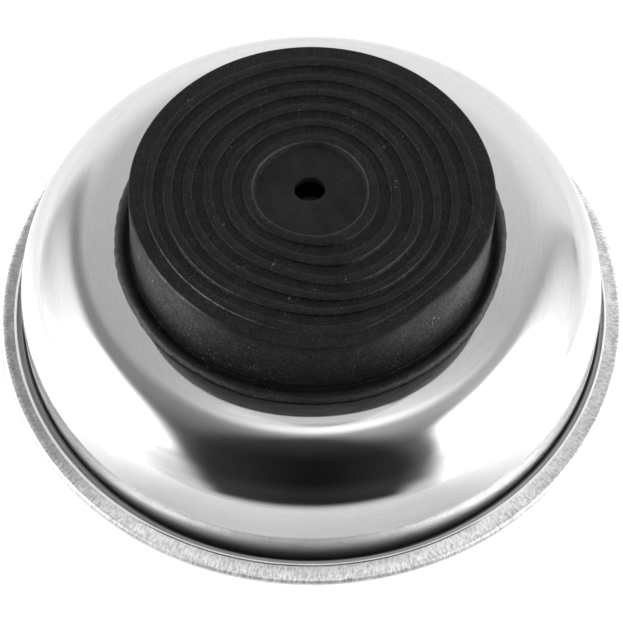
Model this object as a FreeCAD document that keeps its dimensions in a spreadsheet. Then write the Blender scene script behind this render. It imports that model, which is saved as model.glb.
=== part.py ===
import FreeCAD, Part
import os
import Sketcher

# Magnetic parts tray: a spun and pressed stainless bowl with a hemmed rim, held by one centre
# screw on a ring magnet that sits inside a ribbed rubber boot.
# Millimetres, +Z up, tray standing on its boot: the origin is the middle of the tread plane.

DIMENSIONS = {
    # bowl
    "rim_radius": 75.0,
    "tray_height": 45.0,
    "sheet": 0.6,
    "floor_level": 17.8,
    "floor_radius": 50.4,
    "wall_bend": 18.4,
    "wall_draft": 3.0,
    "neck_bend": 0.8,
    "hem_edge_radius": 71.0,
    "hem_gap": 0.3,
    "screw_hole": 2.65,
    # rubber boot
    "tread_radius": 40.6,
    "boot_foot_radius": 41.2,
    "boot_flange_radius": 45.0,
    "boot_flange": 1.4,
    "boot_base": 3.0,
    "boot_hole": 3.15,
    "boot_fillet": 0.8,
    "tread_edge_round": 0.6,
    "flange_edge_round": 0.6,
    "lip_radius": 33.0,
    "recess_radius": 12.2,
    "recess_depth": 1.4,
    "recess_flare": 0.5,
    # tread grooves, and the step down outside the last land
    "step_radius": 36.9,
    "step_side": 0.1,
    "step_depth": 0.35,
    "groove_count": 5,
    "groove_first": 15.0,
    "groove_pitch": 4.38,
    "groove_width": 2.15,
    "groove_depth": 0.7,
    "groove_side": 0.2,
    # magnet, backing plate and pad
    "magnet_radius": 37.0,
    "magnet_bore": 16.0,
    "magnet_thick": 12.0,
    "magnet_chamfer": 0.5,
    "fit_gap": 0.2,
    "plate_thick": 1.5,
    "plate_well_height": 10.5,
    "plate_bend": 2.0,
    "pad_inner": 17.0,
    "pad_gap": 0.4,
    # M5 fasteners
    "thread_radius": 2.5,
    "thread_clearance": 0.05,
    "screw_length": 14.0,
    "screw_point": 0.6,
    "head_radius": 4.75,
    "head_height": 3.7,
    "head_side": 1.6,
    "head_side_arc": 3.3,
    "crown_radius": 2.4,
    "crown_drop": 0.25,
    "crown_arc": 11.7,
    "recess_arm": 2.2,
    "recess_slot": 0.55,
    "recess_sink": 2.2,
    "recess_taper": 8.0,
    "washer_radius": 5.0,
    "washer_thick": 1.0,
    "washer_chamfer": 0.2,
    "lock_radius": 4.6,
    "lock_thick": 1.2,
    "lock_slit": 0.6,
    "nut_flats": 8.0,
    "nut_thick": 4.0,
    "nut_corner_slope": 30.0,
    "nut_cut_margin": 1.0,
}
# Heights that several pieces share, as expressions of the sheet.
PLATE_TOP = "Sizes.boot_base + Sizes.plate_thick"
MAGNET_TOP = f"{PLATE_TOP} + Sizes.magnet_thick"
WELL_INSIDE = f"{PLATE_TOP} + Sizes.plate_well_height - Sizes.plate_thick"
LOCK_BOTTOM = f"{WELL_INSIDE} - Sizes.lock_thick"
NUT_BOTTOM = f"{LOCK_BOTTOM} - Sizes.nut_thick"
BOWL_INSIDE = "Sizes.floor_level + Sizes.sheet"
HEAD_SEAT = f"{BOWL_INSIDE} + Sizes.washer_thick"
HEM_FOLD = "(2 * Sizes.sheet + Sizes.hem_gap) / 2"


def make_sheet(document):
    """The driving dimensions: a name in column A and its value, aliased, in column B."""
    sheet = document.addObject("Spreadsheet::Sheet", "Sizes")
    for row, (name, size) in enumerate(DIMENSIONS.items(), start=1):
        sheet.set(f"A{row}", name)
        sheet.set(f"B{row}", str(size))
        sheet.setAlias(f"B{row}", name)
    document.recompute()
    return sheet


def number(owner, expression):
    """The value of an expression of the sheet, as a plain number."""
    found = owner.evalExpression(expression)
    return float(getattr(found, "Value", found))


def new_body(document, name):
    body = document.addObject("PartDesign::Body", name)
    body.Label = name
    return body


def new_sketch(body, name, role):
    """An empty sketch on one of the body's own origin planes."""
    plane = next(o for o in body.Origin.OriginFeatures if o.Role == role)
    sketch = body.newObject("Sketcher::SketchObject", name)
    sketch.AttachmentSupport = [(plane, "")]
    sketch.MapMode = "FlatFace"
    return sketch


def arc_between(start, end, radius):
    """The short arc from start to end; a negative radius turns clockwise."""
    middle = (start + end) / 2
    chord = end - start
    side = FreeCAD.Vector(-chord.y, chord.x, 0).normalize()
    reach = max(radius * radius - chord.Length * chord.Length / 4, 0) ** 0.5
    turn = 1 if radius > 0 else -1
    centre = middle + side * reach * turn
    bulge = centre - side * radius
    return Part.Arc(start, bulge, end)


def add_outline(sketch, outline, label):
    """A closed outline of corners (x, y) or (x, y, radius), each an expression of the sheet.

    A corner's radius belongs to the arc that leaves it. Every corner and radius is a named
    constraint bound to its expression.
    """
    points = [
        FreeCAD.Vector(number(sketch, corner[0]), number(sketch, corner[1]), 0) for corner in outline
    ]
    edges = []
    for index, corner in enumerate(outline):
        start = points[index]
        end = points[(index + 1) % len(points)]
        if len(corner) == 3:
            shape = arc_between(start, end, number(sketch, corner[2]))
            turned = number(sketch, corner[2]) < 0
        else:
            shape = Part.LineSegment(start, end)
            turned = False
        # A sketch keeps its arcs counter-clockwise, so a clockwise one swaps its two ends.
        edges.append((sketch.addGeometry(shape, False), turned))
    for index, (edge, turned) in enumerate(edges):
        following, next_turned = edges[(index + 1) % len(edges)]
        here = (edge, 1 if turned else 2)
        there = (following, 2 if next_turned else 1)
        sketch.addConstraint(Sketcher.Constraint("Coincident", *here, *there))
    for index, corner in enumerate(outline):
        edge, turned = edges[index]
        vertex = 2 if turned else 1
        bind(sketch, f"{label}_x{index}", "DistanceX", corner[0], edge, vertex)
        bind(sketch, f"{label}_y{index}", "DistanceY", corner[1], edge, vertex)
        if len(corner) == 3:
            radius = number(sketch, corner[2])
            sign = "" if radius > 0 else "-"
            bind(sketch, f"{label}_r{index}", "Radius", f"{sign}({corner[2]})", edge)


def bind(sketch, name, kind, expression, edge, vertex=None):
    """One dimension of the sketch, driven by the sheet."""
    size = number(sketch, expression)
    if vertex is None:
        constraint = Sketcher.Constraint(kind, edge, size)
    else:
        constraint = Sketcher.Constraint(kind, -1, 1, edge, vertex, size)
    place = sketch.addConstraint(constraint)
    sketch.renameConstraint(place, name)
    sketch.setExpression(f"Constraints.{name}", expression)


def turn(body, name, outlines, kind="PartDesign::Revolution"):
    """Outlines in the XZ plane turned once round Z, added to the body or grooved from it."""
    sketch = new_sketch(body, f"{name}_outline", "XZ_Plane")
    for index, outline in enumerate(outlines):
        add_outline(sketch, outline, f"c{index}")
    feature = body.newObject(kind, name)
    feature.Profile = sketch
    feature.ReferenceAxis = (sketch, ["V_Axis"])
    feature.Angle = 360
    body.Document.recompute()
    return feature


def rectangle(left, right, low, high):
    return [(left, low), (right, low), (right, high), (left, high)]


def chamfered(left, right, low, high, chamfer):
    """A rectangle section whose two outer corners are cut at 45 degrees."""
    return [
        (left, low),
        (f"{right} - {chamfer}", low),
        (right, f"{low} + {chamfer}"),
        (right, f"{high} - {chamfer}"),
        (f"{right} - {chamfer}", high),
        (left, high),
    ]


def make_bowl(document):
    """One pressed sheet: flat floor, deep round corner, drafted wall, flange, hem folded under."""
    body = new_body(document, "tray_bowl")
    sheet = "Sizes.sheet"
    bend = "Sizes.wall_bend"
    draft = "Sizes.wall_draft"
    bend_centre = f"(Sizes.floor_level + {bend})"
    # Where the deep corner hands over to the drafted wall, outside and inside the sheet.
    outer_x = f"Sizes.floor_radius + {bend} * cos({draft})"
    outer_z = f"{bend_centre} - {bend} * sin({draft})"
    inner_x = f"Sizes.floor_radius + ({bend} - {sheet}) * cos({draft})"
    inner_z = f"{bend_centre} - ({bend} - {sheet}) * sin({draft})"
    # The neck bends from the wall out to the flat flange.
    flange_under = f"(Sizes.tray_height - {sheet})"
    neck_z = f"({flange_under} - Sizes.neck_bend * (1 - sin({draft})))"
    neck_x = f"({outer_x} + ({neck_z} - ({outer_z})) * tan({draft}))"
    neck_centre_x = f"({neck_x} + Sizes.neck_bend * cos({draft}))"
    neck_inside = f"(Sizes.neck_bend + {sheet})"
    inside_x = f"({neck_centre_x} - {neck_inside} * cos({draft}))"
    inside_z = f"({flange_under} - Sizes.neck_bend + {neck_inside} * sin({draft}))"
    fold_x = f"(Sizes.rim_radius - {HEM_FOLD})"
    fold_z = f"(Sizes.tray_height - {HEM_FOLD})"
    gap = "Sizes.hem_gap"
    turn(body, "pressed_sheet", [[
        ("Sizes.screw_hole", "Sizes.floor_level"),
        ("Sizes.floor_radius", "Sizes.floor_level", bend),
        (outer_x, outer_z),
        (neck_x, neck_z, "-Sizes.neck_bend"),
        (neck_centre_x, flange_under),
        (fold_x, flange_under, f"-{gap} / 2"),
        (f"{fold_x} + {gap} / 2", fold_z, f"-{gap} / 2"),
        (fold_x, f"{fold_z} - {gap} / 2"),
        ("Sizes.hem_edge_radius", f"{fold_z} - {gap} / 2"),
        ("Sizes.hem_edge_radius", f"{fold_z} - {HEM_FOLD}"),
        (fold_x, f"{fold_z} - {HEM_FOLD}", HEM_FOLD),
        ("Sizes.rim_radius", fold_z, HEM_FOLD),
        (fold_x, "Sizes.tray_height"),
        (neck_centre_x, "Sizes.tray_height", neck_inside),
        (inside_x, inside_z),
        (inner_x, inner_z, f"-({bend} - {sheet})"),
        ("Sizes.floor_radius", BOWL_INSIDE),
        ("Sizes.screw_hole", BOWL_INSIDE),
    ]])
    return body


def make_boot(document):
    """Moulded rubber cup: ribbed tread, drafted side, thin flange, and a lip over the magnet."""
    body = new_body(document, "rubber_boot")
    edge = "Sizes.tread_edge_round"
    fillet = "Sizes.boot_fillet"
    tip = "Sizes.flange_edge_round"
    flange_under = "(Sizes.floor_level - Sizes.boot_flange)"
    cavity = "(Sizes.magnet_radius + Sizes.fit_gap)"
    turn(body, "moulding", [[
        ("Sizes.boot_hole", "Sizes.recess_depth"),
        ("Sizes.recess_radius", "Sizes.recess_depth"),
        ("Sizes.recess_radius + Sizes.recess_flare", "0"),
        ("Sizes.step_radius", "0"),
        ("Sizes.step_radius + Sizes.step_side", "Sizes.step_depth"),
        (f"Sizes.tread_radius - {edge}", "Sizes.step_depth", edge),
        ("Sizes.tread_radius", f"Sizes.step_depth + {edge}"),
        ("Sizes.boot_foot_radius", f"{flange_under} - {fillet}", f"-{fillet}"),
        (f"Sizes.boot_foot_radius + {fillet}", flange_under),
        (f"Sizes.boot_flange_radius - {tip}", flange_under, tip),
        ("Sizes.boot_flange_radius", f"{flange_under} + {tip}"),
        ("Sizes.boot_flange_radius", "Sizes.floor_level"),
        ("Sizes.lip_radius", "Sizes.floor_level"),
        ("Sizes.lip_radius", MAGNET_TOP),
        (cavity, MAGNET_TOP),
        (cavity, "Sizes.boot_base"),
        ("Sizes.boot_hole", "Sizes.boot_base"),
    ]])
    grooves = []
    for index in range(int(DIMENSIONS["groove_count"])):
        start = f"(Sizes.groove_first + {index} * Sizes.groove_pitch)"
        stop = f"({start} + Sizes.groove_width)"
        grooves.append([
            (start, "0"),
            (stop, "0"),
            (f"{stop} - Sizes.groove_side", "Sizes.groove_depth"),
            (f"{start} + Sizes.groove_side", "Sizes.groove_depth"),
        ])
    before = body.Shape.Volume
    turn(body, "tread_grooves", grooves, "PartDesign::Groove")
    if not body.Shape.Volume < before:
        raise RuntimeError("the tread grooves cut nothing")
    return body


def make_magnet(document):
    """Sintered ferrite ring, its four edges ground off."""
    body = new_body(document, "ring_magnet")
    sketch = new_sketch(body, "ring_outline", "XY_Plane")
    for label, alias in (("outer", "magnet_radius"), ("inner", "magnet_bore")):
        size = number(sketch, f"Sizes.{alias}")
        circle = Part.Circle(FreeCAD.Vector(0, 0, 0), FreeCAD.Vector(0, 0, 1), size)
        edge = sketch.addGeometry(circle, False)
        sketch.addConstraint(Sketcher.Constraint("Coincident", edge, 3, -1, 1))
        bind(sketch, f"{label}_radius", "Radius", f"Sizes.{alias}", edge)
    ring = body.newObject("PartDesign::Pad", "ring")
    ring.Profile = sketch
    ring.setExpression("Length", "Sizes.magnet_thick")
    document.recompute()
    edges = body.newObject("PartDesign::Chamfer", "ground_edges")
    flat_edges = [
        f"Edge{index}" for index, item in enumerate(ring.Shape.Edges, start=1) if item.isClosed()
    ]
    edges.Base = (ring, flat_edges)
    edges.setExpression("Size", "Sizes.magnet_chamfer")
    body.setExpression("Placement.Base.z", PLATE_TOP)
    document.recompute()
    return body


def make_plate(document):
    """Steel backing disc with a pressed well that centres the magnet and hides the nut."""
    body = new_body(document, "backing_plate")
    bend = "Sizes.plate_bend"
    thick = "Sizes.plate_thick"
    well_out = "(Sizes.magnet_bore - Sizes.fit_gap)"
    well_in = f"({well_out} - {thick})"
    top = f"({PLATE_TOP} + Sizes.plate_well_height)"
    shoulder = f"{well_out} - {bend}"
    turn(body, "pressed_disc", [[
        (well_in, "Sizes.boot_base"),
        ("Sizes.magnet_radius", "Sizes.boot_base"),
        ("Sizes.magnet_radius", PLATE_TOP),
        (well_out, PLATE_TOP),
        (well_out, f"{top} - {bend}", bend),
        (shoulder, top),
        ("Sizes.screw_hole", top),
        ("Sizes.screw_hole", WELL_INSIDE),
        (shoulder, WELL_INSIDE, f"-({bend} - {thick})"),
        (well_in, f"{top} - {bend}"),
    ]])
    return body


def make_pad(document):
    """Thin foam ring stuck between the magnet and the underside of the bowl."""
    body = new_body(document, "foam_pad")
    turn(body, "foam_ring", [
        rectangle(
            "Sizes.pad_inner", "Sizes.lip_radius - Sizes.pad_gap", MAGNET_TOP, "Sizes.floor_level",
        ),
    ])
    return body


def make_screw(document):
    """M5 pan-head screw with a cross recess; the thread is a plain shank."""
    body = new_body(document, "centre_screw")
    end = f"({HEAD_SEAT} - Sizes.screw_length)"
    point = "Sizes.screw_point"
    top = f"({HEAD_SEAT} + Sizes.head_height)"
    turn(body, "screw_blank", [[
        ("0", end),
        (f"Sizes.thread_radius - {point}", end),
        ("Sizes.thread_radius", f"{end} + {point}"),
        ("Sizes.thread_radius", HEAD_SEAT),
        ("Sizes.head_radius", HEAD_SEAT),
        ("Sizes.head_radius", f"{HEAD_SEAT} + Sizes.head_side", "Sizes.head_side_arc"),
        ("Sizes.crown_radius", f"{top} - Sizes.crown_drop", "Sizes.crown_arc"),
        ("0", top),
    ]])
    sketch = new_sketch(body, "cross_outline", "XY_Plane")
    head_top = FreeCAD.Vector(0, 0, number(sketch, top))
    sketch.AttachmentOffset = FreeCAD.Placement(head_top, FreeCAD.Rotation())
    sketch.setExpression("AttachmentOffset.Base.z", top)
    arm = "Sizes.recess_arm"
    half = "Sizes.recess_slot"
    add_outline(sketch, [
        (arm, f"-{half}"), (arm, half), (half, half), (half, arm), (f"-{half}", arm), (f"-{half}", half),
        (f"-{arm}", half), (f"-{arm}", f"-{half}"), (f"-{half}", f"-{half}"), (f"-{half}", f"-{arm}"),
        (half, f"-{arm}"), (half, f"-{half}"),
    ], "cross")
    before = body.Shape.Volume
    recess = body.newObject("PartDesign::Pocket", "cross_recess")
    recess.Profile = sketch
    recess.setExpression("Length", "Sizes.recess_sink")
    recess.setExpression("TaperAngle", "-Sizes.recess_taper")
    document.recompute()
    if not body.Shape.Volume < before:
        raise RuntimeError("the cross recess cut nothing")
    return body


def make_head_washer(document):
    """Flat washer that spreads the screw's pull over the thin bowl floor."""
    body = new_body(document, "head_washer")
    turn(body, "flat_ring", [chamfered(
        "Sizes.screw_hole", "Sizes.washer_radius",
        f"({BOWL_INSIDE})", f"({HEAD_SEAT})", "Sizes.washer_chamfer",
    )])
    return body


def make_lock_washer(document):
    """Spring washer, pressed flat, with its narrow slanting slit."""
    body = new_body(document, "lock_washer")
    turn(body, "spring_ring", [
        rectangle("Sizes.screw_hole", "Sizes.lock_radius", LOCK_BOTTOM, WELL_INSIDE),
    ])
    before = body.Shape.Volume
    sketch = new_sketch(body, "slit_outline", "XZ_Plane")
    slit = "Sizes.lock_slit"
    add_outline(sketch, [
        (f"-{slit}", LOCK_BOTTOM), ("0", LOCK_BOTTOM), (slit, WELL_INSIDE), ("0", WELL_INSIDE),
    ], "slit")
    cut = body.newObject("PartDesign::Pocket", "slit")
    cut.Profile = sketch
    cut.setExpression("Length", "Sizes.lock_radius + Sizes.fit_gap")
    document.recompute()
    if not body.Shape.Volume < before:
        raise RuntimeError("the slit cut nothing")
    return body


def make_nut(document):
    """M5 hexagon nut with both faces chamfered at the corners."""
    body = new_body(document, "hex_nut")
    # A hexagon's corners stand 30 degrees from the middles of its flats.
    across_corners = "Sizes.nut_flats / cos(30)"
    thread = "(Sizes.thread_radius + Sizes.thread_clearance)"
    sketch = new_sketch(body, "hexagon_outline", "XY_Plane")
    half = "Sizes.nut_flats / 2"
    corner = f"({across_corners}) / 2"
    add_outline(sketch, [
        (corner, "0"), (f"{corner} / 2", half), (f"-{corner} / 2", half),
        (f"-{corner}", "0"), (f"-{corner} / 2", f"-{half}"), (f"{corner} / 2", f"-{half}"),
    ], "hexagon")
    circle = Part.Circle(FreeCAD.Vector(0, 0, 0), FreeCAD.Vector(0, 0, 1), number(sketch, thread))
    edge = sketch.addGeometry(circle, False)
    sketch.addConstraint(Sketcher.Constraint("Coincident", edge, 3, -1, 1))
    bind(sketch, "thread_radius", "Radius", thread, edge)
    block = body.newObject("PartDesign::Pad", "hexagon")
    block.Profile = sketch
    block.setExpression("Length", "Sizes.nut_thick")
    document.recompute()
    before = body.Shape.Volume
    reach = f"({corner} + Sizes.nut_cut_margin)"
    drop = f"(({reach} - {half}) * tan(Sizes.nut_corner_slope))"
    turn(body, "corner_chamfers", [
        [(half, "0"), (reach, "0"), (reach, drop)],
        [(half, "Sizes.nut_thick"), (reach, f"Sizes.nut_thick - {drop}"), (reach, "Sizes.nut_thick")],
    ], "PartDesign::Groove")
    if not body.Shape.Volume < before:
        raise RuntimeError("the nut's corners were not cut")
    body.setExpression("Placement.Base.z", NUT_BOTTOM)
    document.recompute()
    return body


def check(document, bodies):
    """Stops before anything is written if an object failed or a piece isn't one sound solid."""
    for item in document.Objects:
        if "Invalid" in item.State or "Error" in item.State:
            raise RuntimeError(f"{item.Label} failed: {item.State}")
    for body in bodies:
        shape = body.Shape
        if shape.isNull() or not shape.isValid() or len(shape.Solids) != 1:
            raise RuntimeError(f"{body.Label} is not one valid solid")


def main():
    document = FreeCAD.newDocument("magnetic_parts_tray")
    make_sheet(document)
    makers = [
        make_bowl, make_boot, make_magnet, make_plate, make_pad,
        make_screw, make_head_washer, make_lock_washer, make_nut,
    ]
    bodies = [make(document) for make in makers]
    document.recompute()
    check(document, bodies)
    os.makedirs("parts", exist_ok=True)
    for body in bodies:
        body.Shape.exportStep(f"parts/{body.Label}.step")


main()
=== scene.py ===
import math

import bpy
import numpy as np
from mathutils import Matrix, Vector


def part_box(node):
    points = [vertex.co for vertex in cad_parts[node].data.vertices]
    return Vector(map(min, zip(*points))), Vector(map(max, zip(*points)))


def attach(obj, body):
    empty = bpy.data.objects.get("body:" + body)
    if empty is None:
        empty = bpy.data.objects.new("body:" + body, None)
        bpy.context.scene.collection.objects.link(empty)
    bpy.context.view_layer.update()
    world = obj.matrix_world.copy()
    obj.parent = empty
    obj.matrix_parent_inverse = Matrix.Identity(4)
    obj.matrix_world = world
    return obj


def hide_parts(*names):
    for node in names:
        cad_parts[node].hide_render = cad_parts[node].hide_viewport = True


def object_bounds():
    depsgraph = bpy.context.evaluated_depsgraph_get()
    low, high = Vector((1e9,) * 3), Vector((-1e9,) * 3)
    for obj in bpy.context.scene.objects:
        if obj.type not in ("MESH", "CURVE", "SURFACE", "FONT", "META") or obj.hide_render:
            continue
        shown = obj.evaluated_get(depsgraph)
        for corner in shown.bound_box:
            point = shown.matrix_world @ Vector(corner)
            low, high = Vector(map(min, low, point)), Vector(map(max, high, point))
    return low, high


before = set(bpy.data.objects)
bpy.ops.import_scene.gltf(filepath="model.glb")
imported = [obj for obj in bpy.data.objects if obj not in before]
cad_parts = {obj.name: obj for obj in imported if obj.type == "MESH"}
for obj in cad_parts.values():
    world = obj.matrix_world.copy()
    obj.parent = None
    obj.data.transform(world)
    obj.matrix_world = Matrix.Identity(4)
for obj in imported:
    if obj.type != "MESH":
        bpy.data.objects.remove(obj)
cad_low, cad_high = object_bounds()

# The tray stands on its rubber boot, +Z up. The main camera looks at it from below and in front,
# as if the tray lay upside down on a table, so the table, the floor and the lights all depend on
# whether the camera is above or below the tray.
MM = 0.001
BODY = "root"

# ---------------------------------------------------------------- sizes of the pieces, millimetres
BOWL_LOW, BOWL_HIGH = (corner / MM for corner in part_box("tray_bowl"))
BOOT_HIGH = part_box("rubber_boot")[1] / MM
RIM_RADIUS = BOWL_HIGH.x
RIM_LEVEL = BOWL_HIGH.z
FLOOR_LEVEL = BOWL_LOW.z
SHEET = 0.6
FLOOR_RADIUS = 50.4
WALL_BEND = 18.4
WALL_DRAFT = 3.0
NECK_BEND = 0.8
HEM_GAP = 0.3
HEM_EDGE_RADIUS = 71.0
HEM_EDGE_ROUND = 0.1
SCREW_HOLE = 2.65
# The hem is narrower on one side: by how much, in which direction in degrees, and how locally.
HEM_SHIFT = 0.5
HEM_SHIFT_DIRECTION = 335.0
HEM_SHIFT_POWER = 8.0
# Radii where the underside's finish changes, and where its painted reflection, painted highlight and
# painted shadow lie.
CRESCENT_START, CRESCENT_END = 43.4, 48.0
STRIP_START = 69.75
HEM_FINISH_START = 70.6
EDGE_HIGHLIGHT_START, EDGE_HIGHLIGHT_END, EDGE_HIGHLIGHT_END_FRONT = 70.72, 71.25, 71.0
EDGE_SHADOW_START, EDGE_SHADOW_END = 71.03, 71.32

BOOT_FLANGE_RADIUS = BOOT_HIGH.x
BOOT_FLANGE = 1.4
FLANGE_LEVEL = FLOOR_LEVEL - BOOT_FLANGE
SIDE_END = FLANGE_LEVEL - 0.5
BOOT_FOOT_RADIUS = 41.2
TREAD_RADIUS = 40.6
TREAD_ROUND = 0.6
BOOT_HOLE = 3.3
BOOT_BASE = 3.0
BOOT_CAVITY = 37.2
BOOT_LIP = 33.0
MAGNET_TOP = 16.5
RECESS_RADIUS = 12.2
RECESS_DEPTH = 1.4
STEP_RADIUS = 36.9
STEP_DEPTH = 0.35
GROOVES = 5
GROOVE_FIRST = 15.0
GROOVE_PITCH = 4.38
GROOVE_WIDTH = 2.15
GROOVE_DEPTH = 0.7
GROOVE_SIDE = 0.2
GROOVE_EDGE_ROUND = 0.24
LAND_CROWN = 0.07

# ---------------------------------------------------------------- finish and light levels
STEEL_LEVEL = 0.62
HEM_ROUGHNESS = 0.5
RUBBER_LEVEL = 0.008
RUBBER_SHEEN = 0.11
SOFTBOX = 4.0
TABLE_SIDE_GLOW = 1.0
TABLE_BACK_GLOW = 0.25
TABLE_RIM_GLOW = 0.15
FLOOR_GLOW_SHARE = 0.3
TABLE_CAMERA_GLOW = 0.4


# ---------------------------------------------------------------- mesh helpers
def segment(start, end, count):
    """Points from start towards end, end left out."""
    start, end = np.array(start, float), np.array(end, float)
    steps = np.arange(count)[:, None] / count
    return start + (end - start) * steps


def arc(centre, radius, first, last, count):
    """Points of an arc from angle first to last in degrees, the last point left out."""
    angles = np.radians(first + (last - first) * np.arange(count) / count)
    return np.array(centre, float) + radius * np.stack([np.cos(angles), np.sin(angles)], 1)


def turned(name, outline, turns, shape, crease):
    """A closed (radius, height) outline in millimetres, counter-clockwise, turned round Z.

    shape(radius, height, angle) returns the changed radius and height of every point.
    """
    angle = np.linspace(0, 2 * math.pi, turns, endpoint=False)
    angle_grid, index = np.meshgrid(angle, np.arange(len(outline)))
    radius, height = shape(outline[index, 0], outline[index, 1], angle_grid)
    points = np.stack([radius * np.cos(angle_grid), radius * np.sin(angle_grid), height], -1)
    here = index * turns + np.arange(turns)[None, :]
    beside = np.roll(here, -1, axis=1)
    above = np.roll(here, -1, axis=0)
    corner = np.roll(above, -1, axis=1)
    faces = np.stack([here, beside, corner, above], -1).reshape(-1, 4)
    return mesh_piece(name, points.reshape(-1, 3) * MM, faces, crease)


def mesh_piece(name, points, faces, crease):
    """A smooth-shaded mesh object that keeps edges sharper than crease degrees."""
    mesh = bpy.data.meshes.new(name)
    mesh.vertices.add(len(points))
    mesh.vertices.foreach_set("co", np.asarray(points, np.float32).ravel())
    mesh.loops.add(faces.size)
    mesh.loops.foreach_set("vertex_index", faces.astype(np.int32).ravel())
    mesh.polygons.add(len(faces))
    mesh.polygons.foreach_set("loop_start", np.arange(0, faces.size, faces.shape[1], dtype=np.int32))
    mesh.update(calc_edges=True)
    mesh.validate()
    mesh.polygons.foreach_set("use_smooth", np.ones(len(mesh.polygons), bool))
    mesh.set_sharp_from_angle(angle=math.radians(crease))
    piece = bpy.data.objects.new(name, mesh)
    bpy.context.scene.collection.objects.link(piece)
    return piece


def ripple(angle, seed, low, high, count=24):
    """A smooth repeating random wave round the axis, mostly between -1.5 and 1.5."""
    random = np.random.default_rng(seed)
    waves = random.integers(low, high, count)
    phases = random.uniform(0, 2 * math.pi, count)
    total = sum(np.cos(angle * wave + phase) for wave, phase in zip(waves, phases))
    return total / math.sqrt(count)


def climb(value, start, end):
    """0 at start and 1 at end, straight between them and level outside them."""
    return np.clip((value - start) / (end - start), 0, 1)


def bump_at(value, centre, width):
    """A smooth bump of height 1 at centre."""
    return np.exp(-((value - centre) / width) ** 2)


def around(angle, centre_degrees, width_degrees):
    """A smooth bump of height 1 at one direction round the axis."""
    away = (np.degrees(angle) - centre_degrees + 180) % 360 - 180
    return np.exp(-(away / width_degrees) ** 2)


# ---------------------------------------------------------------- bowl
def bowl_outline():
    """The pressed sheet's section: underside outwards, round the hem, then back over the inside."""
    draft = math.radians(WALL_DRAFT)
    bend_centre = (FLOOR_RADIUS, FLOOR_LEVEL + WALL_BEND)
    wall_start = (
        bend_centre[0] + WALL_BEND * math.cos(draft),
        bend_centre[1] - WALL_BEND * math.sin(draft),
    )
    inner_bend = WALL_BEND - SHEET
    flange_under = RIM_LEVEL - SHEET
    neck_z = flange_under - NECK_BEND * (1 - math.sin(draft))
    neck_x = wall_start[0] + (neck_z - wall_start[1]) * math.tan(draft)
    neck_centre = (neck_x + NECK_BEND * math.cos(draft), flange_under - NECK_BEND)
    inner_neck = NECK_BEND + SHEET
    fold = SHEET + HEM_GAP / 2
    fold_centre = (RIM_RADIUS - fold, RIM_LEVEL - fold)
    hem_top = fold_centre[1] - HEM_GAP / 2
    hem_under = fold_centre[1] - fold
    edge_round = HEM_EDGE_ROUND
    edge_centre = HEM_EDGE_RADIUS - 2 * edge_round
    inner_wall_top = (
        neck_centre[0] - inner_neck * math.cos(draft), neck_centre[1] + inner_neck * math.sin(draft)
    )
    inner_wall_foot = (
        bend_centre[0] + inner_bend * math.cos(draft), bend_centre[1] - inner_bend * math.sin(draft)
    )
    inside = FLOOR_LEVEL + SHEET
    return np.concatenate([
        segment((SCREW_HOLE, FLOOR_LEVEL), (FLOOR_RADIUS, FLOOR_LEVEL), 16),
        arc(bend_centre, WALL_BEND, -90, -WALL_DRAFT, 40),
        segment(wall_start, (neck_x, neck_z), 8),
        arc(neck_centre, NECK_BEND, 180 - WALL_DRAFT, 90, 8),
        segment((neck_centre[0], flange_under), (fold_centre[0], flange_under), 6),
        arc(fold_centre, HEM_GAP / 2, 90, -90, 8),
        segment((fold_centre[0], hem_top), (edge_centre - edge_round, hem_top), 6),
        arc((edge_centre, hem_top - edge_round), edge_round, 90, 180, 2),
        arc((edge_centre, hem_under + edge_round), edge_round, 180, 270, 2),
        segment((edge_centre, hem_under), (fold_centre[0], hem_under), 16),
        arc(fold_centre, fold, -90, 90, 16),
        segment((fold_centre[0], RIM_LEVEL), (neck_centre[0], RIM_LEVEL), 8),
        arc(neck_centre, inner_neck, 90, 180 - WALL_DRAFT, 10),
        segment(inner_wall_top, inner_wall_foot, 8),
        arc(bend_centre, inner_bend, -WALL_DRAFT, -90, 32),
        segment((FLOOR_RADIUS, inside), (SCREW_HOLE, inside), 16),
    ])


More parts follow.
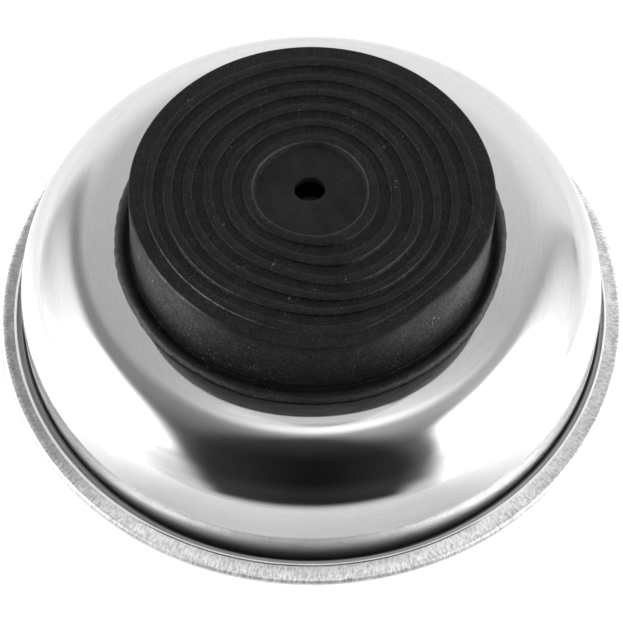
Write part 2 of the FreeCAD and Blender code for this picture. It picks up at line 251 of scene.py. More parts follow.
def shape_bowl(radius, height, angle):
    """Press and folding marks: faint waves in the wall, an uneven hem with short radial puckers."""
    hem = climb(radius, HEM_EDGE_RADIUS - 0.6, HEM_EDGE_RADIUS) * (height < RIM_LEVEL - SHEET - 0.05)
    outer = climb(radius, RIM_RADIUS - 2.5, RIM_RADIUS - 0.5) * (height < RIM_LEVEL - 0.4)
    # The hem is narrower on one side.
    towards = 0.5 + 0.5 * np.cos(angle - math.radians(HEM_SHIFT_DIRECTION))
    shift = HEM_SHIFT * towards ** HEM_SHIFT_POWER
    wander = 0.04 * ripple(angle, 5, 2, 9) + 0.02 * ripple(angle, 6, 20, 60)
    radius = radius + bump_at(radius, HEM_EDGE_RADIUS, 0.8) * hem * (shift + wander)
    # Puckers in the fold, a slow wave, and an outermost turn that stands a little higher.
    puckers = 0.022 * ripple(angle, 7, 90, 230, 40) * (0.6 + 0.6 * ripple(angle, 8, 3, 14))
    height = height - hem * outer * puckers - 0.03 * hem * ripple(angle, 9, 12, 40)
    height = height + 0.22 * hem * climb(radius, RIM_RADIUS - 1.4, RIM_RADIUS) ** 2
    # The wall is faintly wavy, and the deep corner a little fuller, mostly at the back.
    wall = climb(height, FLOOR_LEVEL, FLOOR_LEVEL + 3) * climb(height, RIM_LEVEL - 3, RIM_LEVEL - 11)
    wall = wall * climb(radius, FLOOR_RADIUS - 4.4, FLOOR_RADIUS + 3.6)
    waviness = 0.035 * ripple(angle, 10, 3, 9, 8) + 0.006 * ripple(angle, 11, 16, 40, 12)
    fuller = 0.8 * around(angle, 102, 45) + 0.15 * around(angle, 240, 60)
    radius = radius + wall * (waviness + fuller)
    # The hem is a little wider at the front.
    radius = radius + 0.3 * climb(radius, RIM_RADIUS - 3.5, RIM_RADIUS - 1.5) * around(angle, 235, 60)
    return radius, height


def make_bowl():
    return turned("bowl_shell", bowl_outline(), 960, shape_bowl, 40)


# ---------------------------------------------------------------- rubber boot
def land(left, right):
    """The top of a land, slightly crowned."""
    share = np.arange(8) / 8
    return np.stack([left + (right - left) * share, LAND_CROWN * (2 * share - 1) ** 2], 1)


def groove(start):
    """One groove in the tread, from its outward-facing side to its inward-facing side."""
    stop = start + GROOVE_WIDTH
    edge_round = GROOVE_EDGE_ROUND
    foot_round = 0.12
    far_round = 0.18
    return np.concatenate([
        arc((start - edge_round, edge_round + LAND_CROWN), edge_round, -85, -8, 6),
        arc((start + GROOVE_SIDE, GROOVE_DEPTH - foot_round), foot_round, 172, 90, 3),
        segment((start + GROOVE_SIDE, GROOVE_DEPTH), (stop, GROOVE_DEPTH), 5),
        segment((stop + 0.08, GROOVE_DEPTH * 0.9), (stop + GROOVE_SIDE, 0.3), 3),
        arc((stop + GROOVE_SIDE + far_round, far_round + LAND_CROWN), far_round, 180, 265, 4),
    ])


def flange_outline():
    """From the foot of the side, through a sharp crease, over a rounded bead to the trimmed edge."""
    foot, under = BOOT_FOOT_RADIUS, FLANGE_LEVEL
    bead_round = 1.0
    bead_top = BOOT_FLANGE_RADIUS - bead_round
    crease_round = 0.38
    slope_start = foot + 0.7
    slope_drop = 0.53
    share = np.arange(10) / 10
    slope = np.stack([
        slope_start + (bead_top - slope_start) * share,
        under + slope_drop * (0.5 + 0.5 * np.cos(math.pi * share)),
    ], 1)
    edge = BOOT_FLANGE_RADIUS
    return np.concatenate([
        segment((foot, SIDE_END), (foot + 0.12, under + 0.2), 5),
        arc((foot + 0.5, under + 0.2), crease_round, 180, 70, 6),
        slope,
        arc((bead_top, under + bead_round), bead_round, -90, 0, 10),
        segment((edge, under + bead_round), (edge, FLOOR_LEVEL - 0.05), 3),
    ])


def boot_outline():
    """The boot's section: tread outwards with its grooves, up the side, round the flange, cavity."""
    hole_side = 0.1
    foot_round = 0.3
    recess_foot = RECESS_RADIUS - foot_round - 0.1
    mouth_round = 0.75
    recess_mouth = RECESS_RADIUS + mouth_round + 0.2
    parts = [
        segment((BOOT_HOLE, RECESS_DEPTH + hole_side), (BOOT_HOLE + hole_side, RECESS_DEPTH), 1),
        segment((BOOT_HOLE + hole_side, RECESS_DEPTH), (recess_foot, RECESS_DEPTH), 10),
        arc((recess_foot, RECESS_DEPTH - foot_round), foot_round, 90, 20, 4),
        arc((recess_mouth, mouth_round + LAND_CROWN), mouth_round, 200, 265, 8),
    ]
    land_end = GROOVE_EDGE_ROUND + 0.04
    for index in range(GROOVES):
        start = GROOVE_FIRST + index * GROOVE_PITCH
        parts.append(land(parts[-1][-1][0] + 0.1, start - land_end))
        parts.append(groove(start))
    # Outside the last land the tread steps down to its rounded edge; then come the side and flange.
    edge_round = GROOVE_EDGE_ROUND
    round_centre = (TREAD_RADIUS - TREAD_ROUND, STEP_DEPTH + TREAD_ROUND)
    parts += [
        land(parts[-1][-1][0] + 0.1, STEP_RADIUS - land_end),
        arc((STEP_RADIUS - edge_round, edge_round + LAND_CROWN), edge_round, -85, -15, 5),
        segment((STEP_RADIUS + 0.1, STEP_DEPTH), (round_centre[0], STEP_DEPTH), 10),
        arc(round_centre, TREAD_ROUND, -90, -3, 10),
        segment((TREAD_RADIUS, round_centre[1]), (BOOT_FOOT_RADIUS, SIDE_END), 26),
        flange_outline(),
        segment((BOOT_FLANGE_RADIUS - 0.05, FLOOR_LEVEL), (BOOT_LIP, FLOOR_LEVEL), 4),
        segment((BOOT_LIP, FLOOR_LEVEL), (BOOT_LIP, MAGNET_TOP), 1),
        segment((BOOT_LIP, MAGNET_TOP), (BOOT_CAVITY, MAGNET_TOP), 1),
        segment((BOOT_CAVITY, MAGNET_TOP), (BOOT_CAVITY, BOOT_BASE), 4),
        segment((BOOT_CAVITY, BOOT_BASE), (BOOT_HOLE, BOOT_BASE), 8),
        segment((BOOT_HOLE, BOOT_BASE), (BOOT_HOLE, RECESS_DEPTH + hole_side), 3),
    ]
    return np.concatenate(parts)


def plateau(angle, rise, full, fall, end):
    """Round the axis: 0 up to rise, 1 from full to fall, 0 again from end on; all in degrees."""
    degrees = np.degrees(angle) % 360
    level = np.minimum(climb(degrees, rise, full), climb(degrees, end, fall))
    return 0.5 * level + 0.5 * level * level * (3 - 2 * level)


def shape_boot(radius, height, angle):
    """Moulded rubber is never quite round: its rings bulge on one side, its flange is hand-trimmed."""
    low = climb(height, 6, 2)
    outer_skin = radius > BOOT_CAVITY + 1
    # The rings bulge over the quarter between -X and the front, the last ones in two places more.
    tread = low * climb(radius, TREAD_RADIUS - 0.8, TREAD_RADIUS - 4.8) * climb(radius, 5, 13)
    middle_ring, last_ring = 24.4, 37
    bulge = 2.9 * bump_at(radius, middle_ring, 9) * plateau(angle, 168, 212, 246, 292)
    last_bulge = around(angle, 193, 16) + 0.9 * around(angle, 262, 15)
    bulge = bulge + 1.4 * bump_at(radius, last_ring, 2.5) * last_bulge
    bulge = bulge - 0.3 * bump_at(radius, middle_ring - 0.4, 14) * around(angle, 320, 36)
    uneven = 0.12 * ripple(angle, 21, 2, 6, 6)
    moved = radius + tread * (bulge + uneven)
    # The outline of the tread leans out over the foot, or in, by up to a millimetre.
    shell = np.where(height > BOOT_BASE - 0.1, outer_skin, 1.0)
    lean = climb(height, 14, 2) * climb(radius, 34, 39) * shell
    shift = 1.3 * around(angle, 264, 22) - 0.9 * around(angle, 322, 32) - 0.9 * around(angle, 228, 20)
    shift = shift + 0.3 * around(angle, 190, 25) + 0.25 * around(angle, 100, 75)
    moved = moved + lean * (shift + 0.25 * np.cos(angle - math.radians(120)))
    # The flange is trimmed unevenly, and the side waves a little.
    flange = climb(radius, BOOT_FOOT_RADIUS + 1.5, BOOT_FOOT_RADIUS + 3.5)
    moved = moved + flange * (0.1 * ripple(angle, 22, 3, 14) + 0.06 * ripple(angle, 23, 30, 110))
    moved = moved - flange * 0.45 * around(angle, 198, 24)
    soft = climb(height, 0.2, 2.2) * (1 - flange)
    moved = moved + soft * 0.05 * ripple(angle, 24, 3, 12) * outer_skin
    # The access hole is slightly oval and off the axis.
    hole = climb(radius, 5, 3.5) * low
    moved = moved + hole * (0.12 * np.cos(2 * angle) + 0.5 * np.cos(angle - math.radians(75)))
    return np.minimum(moved, BOOT_FLANGE_RADIUS + 0.25), height


def make_boot():
    return turned("boot_moulding", boot_outline(), 640, shape_boot, 50)


# ---------------------------------------------------------------- shader helpers
class Value:
    """A number or vector coming out of a shader node, usable in plain arithmetic."""

    def __init__(self, graph, socket):
        self.graph, self.socket = graph, socket

    def __add__(self, other):
        return self.graph.math("ADD", self, other)

    def __radd__(self, other):
        return self.graph.math("ADD", other, self)

    def __sub__(self, other):
        return self.graph.math("SUBTRACT", self, other)

    def __rsub__(self, other):
        return self.graph.math("SUBTRACT", other, self)

    def __mul__(self, other):
        return self.graph.math("MULTIPLY", self, other)

    def __rmul__(self, other):
        return self.graph.math("MULTIPLY", other, self)

    def __truediv__(self, other):
        return self.graph.math("DIVIDE", self, other)

    def __lt__(self, other):
        return self.graph.math("LESS_THAN", self, other)

    def __abs__(self):
        return self.graph.math("ABSOLUTE", self)

    def power(self, exponent):
        return self.graph.math("POWER", self.graph.math("MAXIMUM", self, 0.0), exponent)

    def least(self, limit):
        return self.graph.math("MINIMUM", self, limit)

    def ramp(self, low, high, out_low=0.0, out_high=1.0):
        """A smooth step from out_low at low to out_high at high."""
        inputs = {"Value": self, "From Min": low, "From Max": high, "To Min": out_low, "To Max": out_high}
        return self.graph.add("ShaderNodeMapRange", inputs, interpolation_type="SMOOTHSTEP").out()

    def window(self, low, high, soft):
        """1 between low and high, falling to 0 over a soft margin on both sides."""
        return self.ramp(low - soft, low + soft) * self.ramp(high - soft, high + soft, 1.0, 0.0)

    def mix(self, first, second):
        """first where this value is 0, second where it is 1."""
        return first + (second - first) * self


class Node:
    """One shader node."""

    def __init__(self, graph, made):
        self.graph, self.made = graph, made

    def out(self, key=0):
        return Value(self.graph, self.made.outputs[key])


class Graph:
    """Short calls that add shader nodes to one tree."""

    def __init__(self, tree):
        self.tree = tree
        tree.nodes.clear()

    def add(self, kind, inputs=None, **settings):
        made = self.tree.nodes.new(kind)
        for key, value in settings.items():
            setattr(made, key, value)
        for key, value in (inputs or {}).items():
            self.feed(made.inputs[key], value)
        return Node(self, made)

    def feed(self, socket, value):
        if isinstance(value, Value):
            self.tree.links.new(value.socket, socket)
        else:
            socket.default_value = value

    def math(self, operation, *values):
        return self.add("ShaderNodeMath", dict(enumerate(values)), operation=operation).out()

    def xyz(self, vector):
        node = self.add("ShaderNodeSeparateXYZ", {"Vector": vector})
        return node.out("X"), node.out("Y"), node.out("Z")

    def join(self, x, y, z):
        return self.add("ShaderNodeCombineXYZ", {"X": x, "Y": y, "Z": z}).out()

    def grey(self, level):
        return self.add("ShaderNodeCombineColor", {"Red": level, "Green": level, "Blue": level}).out()

    def tint(self, factor, first, second):
        """A colour between first and second."""
        node = self.add("ShaderNodeMix", {0: factor, 6: first, 7: second}, data_type="RGBA")
        return node.out(2)

    def noise(self, vector, scale, detail=2.0, roughness=0.5):
        inputs = {"Vector": vector, "Scale": scale, "Detail": detail, "Roughness": roughness}
        return self.add("ShaderNodeTexNoise", inputs).out("Fac")

    def position(self):
        return self.add("ShaderNodeNewGeometry").out("Position")

    def facing(self):
        """How far the surface faces away from the axis, and how far it faces up, each -1 to 1."""
        geometry = self.add("ShaderNodeNewGeometry")
        x, y = self.xyz(geometry.out("Position"))[:2]
        normal_x, normal_y, normal_z = self.xyz(geometry.out("Normal"))
        return (normal_x * x + normal_y * y) / (x * x + y * y).power(0.5), normal_z

    def specks(self, vector, scale, size, share):
        """Scattered round specks: size in parts of a cell, share of the cells that hold one."""
        cells = self.add("ShaderNodeTexVoronoi", {"Vector": vector, "Scale": scale, "Randomness": 1.0})
        chance = self.add("ShaderNodeSeparateColor", {"Color": cells.out("Color")}).out()
        return (cells.out("Distance") < size) * (chance < share)

    def bump(self, height, distance, strength):
        inputs = {"Height": height, "Distance": distance, "Strength": strength}
        return self.add("ShaderNodeBump", inputs).out()

    def around_axis(self):
        """Radius and height in millimetres, and the angle round the axis in radians."""
        x, y, z = self.xyz(self.position())
        return (x * x + y * y).power(0.5) / MM, z / MM, self.math("ARCTAN2", y, x)

    def camera_below(self):
        """1 when the camera is below the tread plane, 0 when it is above."""
        camera = self.add(
            "ShaderNodeVectorTransform", {"Vector": (0, 0, 0)},
            vector_type="POINT", convert_from="CAMERA", convert_to="WORLD",
        )
        return self.xyz(camera.out())[2] < 0.0

    def finish(self, kind, shader):
        """Connects the shader to the tree's output."""
        self.add(kind, {"Surface": shader.out()})


def new_material(name):
    material = bpy.data.materials.new(name)
    material.use_nodes = True
    return material, Graph(material.node_tree)


def grey(value):
    return (value, value, value, 1.0)


# ---------------------------------------------------------------- materials
def hem_finish_and_painted_light(graph, radius, turn, front):
    """Brightness, roughness and relief of the satin hem, with streaks along its radius."""
    streak = graph.noise(graph.join(turn * 60.0, radius * 0.3, 0.0), 2.2, 4.0, 0.65)
    cloud = graph.noise(graph.join(turn * 9.0, radius * 0.2, 0.0), 2.0, 3.0, 0.6)
    fine_streak = graph.noise(graph.join(turn * 150.0, radius * 0.5, 5.0), 2.2, 3.0, 0.7)
    streaks = streak.ramp(0.36, 0.64) * 0.6 + fine_streak.ramp(0.36, 0.64) * 0.4
    outer = radius.ramp(RIM_RADIUS - 2.6, RIM_RADIUS - 1.0)
    bright = outer.mix(0.62, 0.48) + streaks * outer.mix(0.5, 0.66)
    # Painted light: the hem is a little brighter straight in front; the cloud is the finish's own tone.
    bright = bright * cloud.ramp(0.3, 0.7, 0.82, 1.03) * (1.0 + 0.13 * front.power(6.0))
    # Painted shade: the hem is duller on the camera's left and at the back, and its outermost turn is
    # darker at the front.
    left = graph.xyz(graph.position())[0].ramp(0.038, 0.062)
    bright = bright * (1.0 - 0.4 * left * radius.ramp(RIM_RADIUS - 1.8, RIM_RADIUS - 0.8, 1.0, 0.0))
    bright = bright * (1.0 - 0.25 * front.ramp(-0.25, -0.05, 1.0, 0.0) * (1.0 - left))
    bright = bright * (1.0 - 0.35 * front.power(5.0) * radius.ramp(RIM_RADIUS - 1.3, RIM_RADIUS - 0.6))
    satin = streak.ramp(0.3, 0.7, HEM_ROUGHNESS - 0.06, HEM_ROUGHNESS + 0.06)
    return bright, satin, streak + fine_streak * 0.5


def wall_painted_shade(bright, outside, below_rim, front):
    """Painted shade: the wall's outside darkens towards the neck, over a longer way at the front."""
    reach = 3.5 + 6.6 * front.power(6.0)
    shade = ((below_rim - 1.4) / reach).least(1.0).power(1.7)
    bright = bright * outside.mix(1.0, 0.045 + 0.955 * shade)
    # Painted light and shade even out the hem's own reflection in the lower wall.
    painted_reflection_fill = 0.2 * below_rim.window(9.9, 10.45, 0.25) - 0.1 * below_rim.window(7.6, 9.35, 0.3)
    return bright * (1.0 + outside * painted_reflection_fill * front.power(2.0))


def floor_painted_reflection(bright, polish, radius, upward, front):
    """In front of the boot a dark crescent is painted on the floor as its reflection, with a painted band
    of hazy light outside it.

    Returns the brightness and how metallic the floor looks.
    """
    # Painted reflection: the dark crescent, and painted light in the band just outside it.
    past = radius - front.ramp(0.35, 1.0, CRESCENT_START, CRESCENT_END)
    floor = upward.ramp(-0.95, -0.8, 1.0, 0.0)
    crescent = past.ramp(-0.25, 0.2, 1.0, 0.0) * front.ramp(0.3, 0.5) * floor
    band = past.ramp(-0.25, 0.2) * radius.ramp(FLOOR_RADIUS - 1.1, FLOOR_RADIUS + 0.4, 1.0, 0.0)
    band = band * front.ramp(0.9, 0.95) * floor
    gloom = past.ramp(-4.0, 0.0, 0.06, 0.12) * polish.ramp(0.3, 0.7, 0.8, 1.2)
    bright = band.mix(crescent.mix(bright, gloom), 0.64)
    return bright, (1.0 - 0.4 * crescent) * (1.0 - 0.8 * band)


def steel_material():
    """Polished stainless steel: bright bowl with faint draw lines, satin puckered hem, painted shade
    towards the neck and a painted reflection of the boot on the floor.
    """
    material, graph = new_material("polished_steel")
    radius, height, turn = graph.around_axis()
    outward, upward = graph.facing()
    # front is 1 straight in front, 0 at the sides and -1 at the back.
    front = graph.xyz(graph.position())[1] / radius / -MM
    below_rim = RIM_LEVEL - height
    # The hem is narrower on one side.
    towards = 0.5 + 0.5 * graph.math("COSINE", turn - math.radians(HEM_SHIFT_DIRECTION))
    edge_radius = radius - HEM_SHIFT * towards.power(HEM_SHIFT_POWER)
    hem = edge_radius.ramp(HEM_FINISH_START, HEM_FINISH_START + 0.1)
    hem = hem * height.ramp(RIM_LEVEL - 0.75, RIM_LEVEL - 0.55, 1.0, 0.0)
    # The strip of flange between wall and hem, and the bowl's outside up to that strip.
    strip = (radius + 0.22 * front.power(4.0)).ramp(STRIP_START, STRIP_START + 0.4)
    strip = strip * radius.ramp(RIM_RADIUS - 3.0, RIM_RADIUS - 2.0, 1.0, 0.0)
    strip = strip * upward.ramp(-0.8, -0.4, 1.0, 0.0) * (1.0 - hem)
    outside = outward.ramp(-0.3, -0.1) * upward.ramp(0.2, 0.5, 1.0, 0.0)
    wall_end = radius + 0.2 * front.power(4.0)
    outside = outside * wall_end.ramp(STRIP_START + 0.05, STRIP_START + 0.35, 1.0, 0.0)
    # Painted highlight along the sheet's cut edge, narrower at the front, and a painted shadow line beside
    # it at the front.
    edge_highlight = edge_radius.window(EDGE_HIGHLIGHT_START, front.ramp(0.8, 0.9, EDGE_HIGHLIGHT_END, EDGE_HIGHLIGHT_END_FRONT), 0.05) * hem
    edge_shadow = edge_radius.window(EDGE_SHADOW_START, EDGE_SHADOW_END, 0.05) * hem * front.ramp(0.8, 0.9)
    polish = graph.noise(graph.join(turn * 9.0, radius * 1.3, height * 1.3), 1.4, 5.0, 0.7)
    cloud = graph.noise(graph.position(), 45.0, 3.0, 0.6)
    smooth = cloud.ramp(0.3, 0.75, 0.07, 0.11) + polish * 0.03
    smooth = smooth + outside * below_rim.ramp(3.0, 14.0, 0.26, 0.0) + strip * 0.3
    bright = polish.ramp(0.25, 0.8, STEEL_LEVEL - 0.025, STEEL_LEVEL + 0.025)
    # Painted light low on the wall's outside, where it mirrors the shade beside the hem.
    bright = bright + outside * below_rim.ramp(8.6, 10.4, 0.34, 0.0)
    bright = wall_painted_shade(bright, outside, below_rim, front) * (1.0 - 0.35 * strip)
    bright, metal = floor_painted_reflection(bright, polish, radius, upward, front)
    hem_bright, satin, hem_relief = hem_finish_and_painted_light(graph, radius, turn, front)
    hem_bright = hem_bright * (1.0 - 0.85 * edge_shadow)
    tangent = graph.add("ShaderNodeTangent", direction_type="RADIAL", axis="Z").out()
    shader = graph.add(
        "ShaderNodeBsdfPrincipled",
        {
            "Base Color": graph.grey(edge_highlight.mix(hem.mix(bright, hem_bright), 0.95)),
            "Metallic": (1.0 - edge_highlight) * (1.0 - 0.7 * strip) * metal,
            "Roughness": hem.mix(smooth, satin),
            "Anisotropic": hem * 0.7,
            "Tangent": tangent,
            "Normal": graph.bump(hem.mix(polish * 0.03, hem_relief), 0.00006, hem.mix(0.12, 0.5)),
        },
    )
    graph.finish("ShaderNodeOutputMaterial", shader)
    return material


def wear_and_painted_glint(graph, turn, radius):
    """How strongly the tread's edges shine: patchy with wear, and with painted glints in two places."""
    worn = graph.noise(graph.join(turn * 9.0, radius, 0.0), 2.0, 3.0, 0.6).ramp(0.3, 0.65, 0.35, 1.0)
    # Painted glints where the edges face the front-left and the front-right.
    left = graph.math("COSINE", turn + math.radians(45.0)).power(6.0) * radius.ramp(29.0, 32.0)
    right = graph.math("COSINE", turn + math.radians(122.0)).power(8.0) * radius.window(22.0, 31.0, 2.0)
    return worn * (0.3 + 0.8 * left + 0.7 * right)


def rubber_material():
    """Matt black moulded rubber: grainy, dusted with fine pale specks, shinier on its worn edges, with
    painted light and shade on its side, flange, crease and grooves.
    """
    material, graph = new_material("black_rubber")
    place = graph.position()
    radius, height, turn = graph.around_axis()
    outward, upward = graph.facing()
    front = graph.xyz(place)[1] / (radius * -MM)
    # The tread's edges, groove walls and valleys.
    tread = height.ramp(GROOVE_DEPTH + 0.1, GROOVE_DEPTH + 0.5, 1.0, 0.0)
    edge = outward.ramp(0.25, 0.75) * tread * radius.ramp(TREAD_RADIUS - 1.6, TREAD_RADIUS - 0.6, 1.0, 0.0)
    inner_edge = outward.window(-0.8, -0.3, 0.12) * upward.ramp(-0.5, -0.3, 1.0, 0.0) * tread
    inner_edge = inner_edge * radius.ramp(RECESS_RADIUS + 1.2, RECESS_RADIUS + 2.0, 0.3, 0.16)
    # Painted light on the tread's walls that face the axis.
    inner_wall_light = outward.ramp(-0.9, -0.5, 1.0, 0.0) * tread
    # Painted shade in the grooves' valleys.
    valley_shade = height.window(GROOVE_DEPTH - 0.3, GROOVE_DEPTH + 0.4, 0.12)
    valley_shade = valley_shade * radius.ramp(RECESS_RADIUS + 1.3, RECESS_RADIUS + 2.3)
    clean = radius.ramp(RECESS_RADIUS - 0.8, RECESS_RADIUS + 0.2, 1.0, 0.0)
    # The side, with painted light near the tread and painted shade towards its foot and at the front; then
    # the crease with painted shade, the flange with painted light, and its trimmed edge.
    side = outward.ramp(0.5, 0.95) * height.ramp(1.0, 3.0) * (1.0 - 0.75 * front.power(5.0))
    fade = height.ramp(3.0, 15.0, 1.3, 0.5) * side
    crease = height.window(FLANGE_LEVEL - 0.4, FLANGE_LEVEL + 0.9, 0.35)
    crease = crease * radius.ramp(BOOT_FOOT_RADIUS + 1.0, BOOT_FOOT_RADIUS + 1.6, 1.0, 0.0)
    flange = radius.ramp(BOOT_FOOT_RADIUS + 1.3, BOOT_FOOT_RADIUS + 2.1)
    flange = flange * height.ramp(FLANGE_LEVEL - 0.9, FLANGE_LEVEL - 0.4) * (1.0 - 0.65 * front.power(4.0))
    trim = height.ramp(FLOOR_LEVEL - 0.7, FLOOR_LEVEL - 0.4) * outward.ramp(0.6, 0.9)
    # Grain, dust and powder.
    cloud = graph.noise(place, 90.0, 4.0, 0.6)
    blotch = graph.noise(place, 420.0, 4.0, 0.7)
    grain = graph.noise(place, 2400.0, 2.0, 0.6)
    patch = graph.noise(place, 130.0, 3.0, 0.6)
    fleck = grain.ramp(0.32, 0.68, -1.0, 1.0) * (1.0 - 0.7 * clean) * side.mix(0.35, 0.75)
    dust = graph.specks(place, 900.0, patch.ramp(0.48, 0.72, 0.0, 0.3), 0.28) * (1.0 - clean)
    powder = graph.specks(place, 2300.0, patch.ramp(0.35, 0.7, 0.12, 0.36), side.mix(0.3, 0.12))
    powder = powder * (1.0 - clean)
    level = cloud.ramp(0.3, 0.7, RUBBER_LEVEL - 0.0015, RUBBER_LEVEL + 0.0015)
    level = level * blotch.ramp(0.3, 0.7, 0.75, 1.3) * (1.0 + 0.8 * fleck) * (1.0 - 0.3 * valley_shade)
    level = level + dust * side.mix(0.06, 0.25) + powder * side.mix(0.03, 0.3)
    # Painted shade in the crease; painted light on the flange, on walls that face the axis and on the
    # side.
    level = level * (1.0 - 0.3 * crease) + flange * 0.008 + inner_wall_light * 0.007 + fade * 0.0065
    # Painted sheen on the flange and the side, and painted glints on the tread's edges.
    sheen = RUBBER_SHEEN + edge * wear_and_painted_glint(graph, turn, radius) + inner_edge + flange * 0.42
    sheen = sheen + fade * (1.0 - flange) * blotch.ramp(0.3, 0.7, 0.02, 0.12)
    sheen = sheen * (1.0 + 0.95 * fleck) * (1.0 - 0.4 * crease)
    shader = graph.add(
        "ShaderNodeBsdfPrincipled",
        {
            "Base Color": graph.grey(level * (1.0 - 0.6 * trim)),
            "Roughness": edge.mix(cloud.ramp(0.3, 0.75, 0.46, 0.58), 0.36),
            "Specular IOR Level": sheen * (1.0 - 0.6 * trim),
            "Normal": graph.bump(grain * 0.8 + dust * 0.8, 0.00006, 0.6),
        },
    )
    graph.finish("ShaderNodeOutputMaterial", shader)
    return material


def mottled_material(name, dark, light, rough_low, rough_high, metallic=1.0, scale=260.0):
    """A machined, plated or moulded finish with fine mottling in its colour and gloss.

    Below the bowl's floor it is darkened nearly to black by painted shade, so that nothing glints through
    the access hole.
    """
    material, graph = new_material(name)
    place = graph.position()
    # Painted shade: the colour falls to 3 percent below the bowl's floor.
    clean = graph.around_axis()[1].ramp(FLOOR_LEVEL - 2.0, FLOOR_LEVEL, 0.03, 1.0)
    dark = graph.add("ShaderNodeVectorMath", {0: dark[:3], "Scale": clean}, operation="SCALE").out()
    light = graph.add("ShaderNodeVectorMath", {0: light[:3], "Scale": clean}, operation="SCALE").out()
    mottle = graph.noise(place, scale, 5.0, 0.65)
    fine = graph.noise(place, scale * 9, 2.0, 0.5)
    shader = graph.add(
        "ShaderNodeBsdfPrincipled",
        {
            "Base Color": graph.tint(mottle.ramp(0.3, 0.7), dark, light),
            "Metallic": metallic,
            "Roughness": mottle.ramp(0.3, 0.7, rough_low, rough_high),
            "Normal": graph.bump(fine, 0.00003, 0.15),
        },
    )
    graph.finish("ShaderNodeOutputMaterial", shader)
    return material


# ---------------------------------------------------------------- studio
def dome_light(sweep, wide, right):
    """The white dome behind the boxes, which dims towards the front."""
    dome = right.mix(sweep.ramp(100.0, 165.0, 0.4, 1.25), sweep.ramp(96.0, 150.0, 0.6, 1.2))
    return dome + wide.ramp(58.0, 80.0) * right.mix(0.35, 0.12)


def dome_line(wide, right):
    """The sweep angle at which the dome starts above the boxes."""
    left_line = 163.0 - 43.0 * ((57.0 - wide) / 36.0).power(1.5)
    right_line = 118.0 + 44.0 * ((wide.least(57.0) - 15.0) / 42.0).power(1.9)
    return right.mix(left_line, right_line)


def box_light(sweep, wide, right, line):
    """The soft boxes: weaker near the floor, and fading above them as far as the dome's line."""
    fade = ((sweep - 108.0) / (line - 108.0)).ramp(-0.15, 1.1)
    line_level = right.mix(wide.ramp(18.0, 52.0, 0.26, 0.85), wide.ramp(15.0, 45.0, 0.5, 0.72))
    line_level = line_level + wide.ramp(54.0, 78.0) * right.mix(0.9, 0.7)
    high_box = fade.mix(1.7, line_level)
    low_box = right.mix(wide.ramp(40.0, 62.0, 1.0, 2.0), wide.ramp(34.0, 47.0, 0.85, 2.4))
    low_box = low_box * sweep.ramp(24.0, 42.0, 1.0, 1.3)
    box = sweep.ramp(right.mix(44.0, 38.0), right.mix(62.0, 60.0)).mix(low_box, SOFTBOX)
    return sweep.ramp(104.0, 112.0).mix(box, high_box)


def flank_light(sweep, right):
    """The grey flanks between the boxes and the dark gap."""
    flank = right.mix(sweep.ramp(76.0, 112.0, 0.12, 0.36), sweep.ramp(76.0, 108.0, 0.15, 0.62))
    return sweep.ramp(6.0, 26.0).mix(0.9, flank)


def inside_box(sweep, wide, right):
    """1 in the boxes, 0 between them; their inner edges close in towards the top."""
    left_inner = sweep.ramp(25.0, 55.0, 35.8, 37.5) - sweep.ramp(50.0, 100.0, 0.0, 6.8)
    right_inner = sweep.ramp(46.0, 100.0, 35.5, 19.5) + sweep.ramp(84.0, 104.0, 0.0, 3.0)
    soft = right.mix(6.0, sweep.ramp(40.0, 70.0, 5.0, 3.5))
    return ((wide - right.mix(left_inner, right_inner)) / soft).ramp(-1.0, 1.0)


def dark_gap(sweep, wide, right):
    """Where the dark gap in front is, 0 to 1, and its brightness. It closes towards the top."""
    closing = ((sweep - 45.0) / 59.0).power(right.mix(2.0, 1.4))
    half = (1.0 - closing) * right.mix(31.0, 28.0)
    gap = (half - wide).ramp(-5.0, 4.0) * sweep.ramp(1.0, 11.0) * sweep.ramp(100.0, 109.0, 1.0, 0.0)
    dark = wide.ramp(0.0, 24.0, 0.011, 0.03) + sweep.window(15.0, 32.0, 10.0) * 0.022
    return gap, dark + sweep.ramp(68.0, 98.0) * 0.035


def studio_light(side, sweep):
    """Brightness of the studio in one direction.

    side is the angle to the left (negative) or right of the middle plane; sweep is the angle from
    the front horizon, over the top, to the back horizon; both in degrees. Two big soft boxes stand
    at the sides, with a dark gap between them in front, under a white dome.
    """
    wide = abs(side)
    right = side.ramp(-6.0, 6.0)
    line = dome_line(wide, right)
    box = box_light(sweep, wide, right, line)
    light = inside_box(sweep, wide, right).mix(flank_light(sweep, right), box)
    light = (sweep - line).ramp(0.0, right.mix(18.0, 12.0)).mix(light, dome_light(sweep, wide, right))
    # A small lamp over the gap, and a dull spot on the right of the dome.
    lamp = ((side - 2.0) / 11.0).window(-0.5, 0.5, 0.5) * sweep.window(108.0, 118.0, 4.0)
    spot = (side / 8.0 - 6.9).window(-0.4, 0.4, 0.5) * (sweep / 10.0 - 16.1).window(-0.2, 0.2, 0.5)
    light = (light + 1.2 * lamp) * (1.0 - 0.6 * spot)
    gap, dark = dark_gap(sweep, wide, right)
    return gap.mix(light, dark)


def make_world():
    """The studio turns over with the camera, so that its lights stand on the camera's side."""
    world = bpy.data.worlds.new("studio")
    bpy.context.scene.world = world
    world.use_nodes = True
    graph = Graph(world.node_tree)
    flip = 1.0 - 2.0 * graph.camera_below()
    x, y, z = graph.xyz(graph.add("ShaderNodeTexCoord").out("Generated"))
    side = graph.math("ARCSINE", x * flip) * math.degrees(1)
    sweep = graph.math("ARCTAN2", z * flip, y * -1.0) * math.degrees(1)
    sweep = sweep + (sweep < -90.0) * 360.0
    light = studio_light(side, sweep)
    # The camera itself sees a plain pale backdrop.
    seen = graph.add("ShaderNodeLightPath").out("Is Camera Ray")
    background = graph.add("ShaderNodeBackground", {"Color": grey(1.0), "Strength": seen.mix(light, 1.0)})
    graph.finish("ShaderNodeOutputWorld", background)


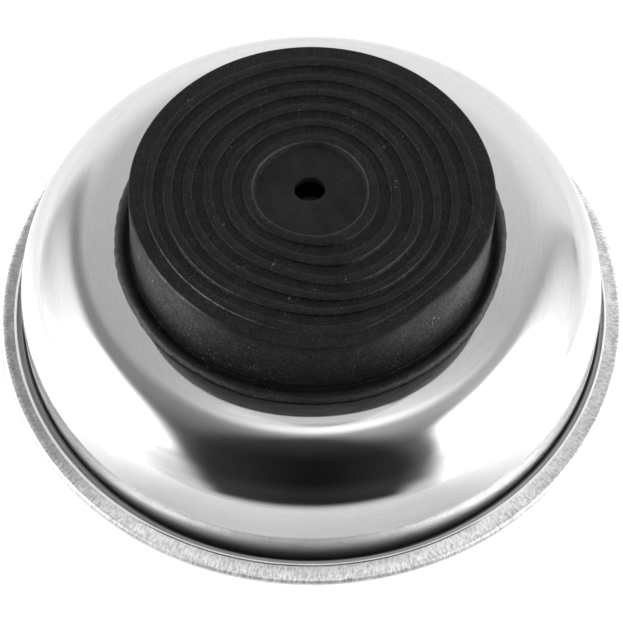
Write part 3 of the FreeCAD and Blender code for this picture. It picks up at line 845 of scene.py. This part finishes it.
def make_plane(name, level, shown_from_below):
    """A pale level surface, there only while the camera is below the tray, or only while above."""
    half = 8.0
    corners = ((-half, -half), (half, -half), (half, half), (-half, half))
    points = np.array([(x, y, level) for x, y in corners])
    plane = mesh_piece(name, points, np.array([[0, 1, 2, 3]]), 30)
    material, graph = new_material(name)
    below = graph.camera_below()
    shown = below if shown_from_below else 1.0 - below
    x, y = graph.xyz(graph.position())[:2]
    mottle = graph.noise(graph.position(), 30.0, 4.0, 0.6)
    colour = graph.tint(mottle.ramp(0.3, 0.7), grey(0.78), grey(0.82))
    paper = graph.add("ShaderNodeBsdfDiffuse", {"Color": colour, "Roughness": 0.8})
    # Painted light: the table glows most on the boxes' sides and at the back, and glows beside the hem to
    # lift the tray's shadow there; the camera sees the table evenly white.
    rim = RIM_RADIUS * MM
    away = (x * x + y * y).power(0.5)
    sideways = (abs(x) - 0.04 * x) / away
    side_glow = sideways.ramp(0.5, 0.95, 0.0, TABLE_SIDE_GLOW) * y.ramp(-0.02, 0.06, 1.0, 0.15)
    side_glow = side_glow + y.ramp(-0.05, 0.08, 0.0, TABLE_BACK_GLOW)
    rim_glow = away.ramp(rim + 0.0012, rim + 0.004, TABLE_RIM_GLOW, 0.0)
    side_glow = side_glow + rim_glow * y.ramp(-0.03, 0.0, 1.0, 0.0)
    seen = graph.add("ShaderNodeLightPath").out("Is Camera Ray")
    glow_share = 1.0 if shown_from_below else FLOOR_GLOW_SHARE
    glow = seen.mix(side_glow * glow_share, TABLE_CAMERA_GLOW)
    shine = graph.add("ShaderNodeEmission", {"Color": grey(1.0), "Strength": glow})
    lit = graph.add("ShaderNodeAddShader", {0: paper.out(), 1: shine.out()})
    clear = graph.add("ShaderNodeBsdfTransparent")
    choice = graph.add("ShaderNodeMixShader", {0: shown, 1: clear.out(), 2: lit.out()})
    graph.finish("ShaderNodeOutputMaterial", choice)
    plane.data.materials.append(material)


# ---------------------------------------------------------------- camera
# Distances in metres, angles in degrees, the lens in millimetres.
CAMERA_DISTANCE = 0.39482
CAMERA_DROP = 55.907
CAMERA_TARGET = Vector((0.0, 0.0, 0.025))
CAMERA_LENS = 97.81
SENSOR_WIDTH = 36.0
CAMERA_YAW = 0.018
CAMERA_PITCH = -2.06
CAMERA_ROLL = -0.322


def turn_pair(first, second, angle):
    """Two perpendicular directions, both turned from the first towards the second."""
    turned_first = first * math.cos(angle) + second * math.sin(angle)
    turned_second = second * math.cos(angle) - first * math.sin(angle)
    return turned_first, turned_second


def make_camera():
    """In front of the tray and below it, rolled half a turn so that the tread points up the picture."""
    drop = math.radians(CAMERA_DROP)
    away = Vector((0, -math.cos(drop), -math.sin(drop)))
    place = CAMERA_TARGET + away * CAMERA_DISTANCE
    forward = -away
    right = Vector((-1, 0, 0))
    up = right.cross(forward)
    pitch, yaw, roll = (math.radians(angle) for angle in (CAMERA_PITCH, CAMERA_YAW, CAMERA_ROLL))
    forward, up = turn_pair(forward, up, pitch)
    forward, right = turn_pair(forward, right, yaw)
    right, up = turn_pair(right, up, roll)
    data = bpy.data.cameras.new("camera")
    data.lens = CAMERA_LENS
    data.sensor_width = SENSOR_WIDTH
    data.clip_start = 0.01
    camera = bpy.data.objects.new("camera", data)
    rotation = Matrix((right, up, -forward)).transposed().to_4x4()
    camera.matrix_world = Matrix.Translation(place) @ rotation
    bpy.context.scene.collection.objects.link(camera)
    bpy.context.scene.camera = camera


# ---------------------------------------------------------------- the whole
def wear(piece, material, node):
    """Gives a new piece its material and body, and hides the CAD node it stands for."""
    piece.data.materials.append(material)
    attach(piece, BODY)
    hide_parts(node)


def paint(node, material):
    """Gives a CAD node that stays a material of its own and smooth faces."""
    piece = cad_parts[node]
    piece.data.materials.clear()
    piece.data.materials.append(material)
    piece.data.polygons.foreach_set("use_smooth", np.ones(len(piece.data.polygons), bool))
    piece.data.set_sharp_from_angle(angle=math.radians(30))


def main():
    bpy.context.scene.view_settings.view_transform = "Standard"
    wear(make_bowl(), steel_material(), "tray_bowl")
    wear(make_boot(), rubber_material(), "rubber_boot")
    screw_steel = mottled_material("screw_steel", grey(0.5), grey(0.62), 0.2, 0.34)
    zinc = mottled_material("zinc_steel", (0.5, 0.52, 0.54, 1), (0.66, 0.67, 0.68, 1), 0.25, 0.42)
    ferrite = mottled_material("ferrite", grey(0.035), grey(0.06), 0.55, 0.75, 0.0, 500.0)
    foam = mottled_material("pad_foam", grey(0.03), grey(0.07), 0.8, 0.95, 0.0, 900.0)
    paint("centre_screw", screw_steel)
    paint("head_washer", screw_steel)
    paint("backing_plate", zinc)
    paint("lock_washer", zinc)
    paint("hex_nut", zinc)
    paint("ring_magnet", ferrite)
    paint("foam_pad", foam)
    make_world()
    make_plane("floor", 0.0, False)
    make_plane("table", cad_high.z, True)
    make_camera()


main()
